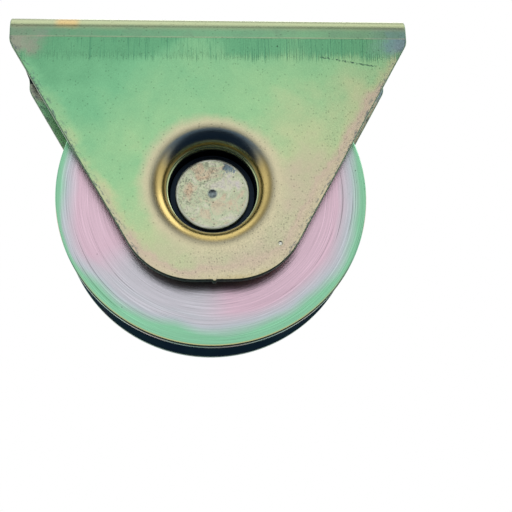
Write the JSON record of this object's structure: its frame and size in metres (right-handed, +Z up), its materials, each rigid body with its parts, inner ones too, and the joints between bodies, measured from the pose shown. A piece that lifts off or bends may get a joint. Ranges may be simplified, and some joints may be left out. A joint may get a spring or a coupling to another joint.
{
  "type": "gate wheel",
  "caption": "V-groove wheel on a ball bearing, riveted between two dished side plates under a slotted base, for a sliding gate.",
  "frame": {"origin": "centre of the base's top face, which bolts against the underside of the gate", "axes": "+Z up towards the gate, +X along the bracket, +Y along the axle towards the rear plate"},
  "size_m": [0.1296, 0.0406, 0.1085],
  "materials": {
    "pressed_zinc": "yellow chromate passivated zinc plate on pressed sheet",
    "weld_zinc": "zinc-plated weld bead",
    "axle_zinc": "zinc-plated riveted pin",
    "turned_zinc": "yellow chromate passivated zinc plate on a turned face",
    "spring_steel": "oiled spring steel",
    "bearing_steel": "ground bearing steel",
    "shield_steel": "pressed steel shield",
    "cage_steel": "pressed steel cage"
  },
  "bodies": {
    "bracket": {"main_bracket": "pressed_zinc", "rear_plate": "pressed_zinc", "weld_bead_left": "weld_zinc", "weld_bead_right": "weld_zinc", "axle_pin": "axle_zinc", "bearing_inner_ring": "bearing_steel"},
    "wheel": {"v_groove_wheel": "turned_zinc", "bearing_outer_ring": "bearing_steel", "bearing_shield_front": "shield_steel", "bearing_shield_rear": "shield_steel", "snap_ring": "spring_steel"},
    "ball_cage": {"cage_half_front": "cage_steel", "cage_half_rear": "cage_steel", "ball_1": "bearing_steel", "ball_2": "bearing_steel", "ball_3": "bearing_steel", "ball_4": "bearing_steel", "ball_5": "bearing_steel", "ball_6": "bearing_steel", "ball_7": "bearing_steel", "ball_8": "bearing_steel", "cage_rivet_1": "cage_steel", "cage_rivet_2": "cage_steel", "cage_rivet_3": "cage_steel", "cage_rivet_4": "cage_steel", "cage_rivet_5": "cage_steel", "cage_rivet_6": "cage_steel", "cage_rivet_7": "cage_steel", "cage_rivet_8": "cage_steel"}
  },
  "joints": [
    {"name": "wheel_spin", "type": "hinge", "parent": "bracket", "child": "wheel", "pos_m": [0, 0, -0.05855], "axis": [0, 1, 0], "continuous": true},
    {"name": "cage_spin", "type": "hinge", "parent": "bracket", "child": "ball_cage", "pos_m": [0, 0, -0.05855], "axis": [0, 1, 0], "continuous": true}
  ],
  "couplings": [
    {"joint": "cage_spin", "follows": "wheel_spin", "ratio": 0.6158}
  ]
}
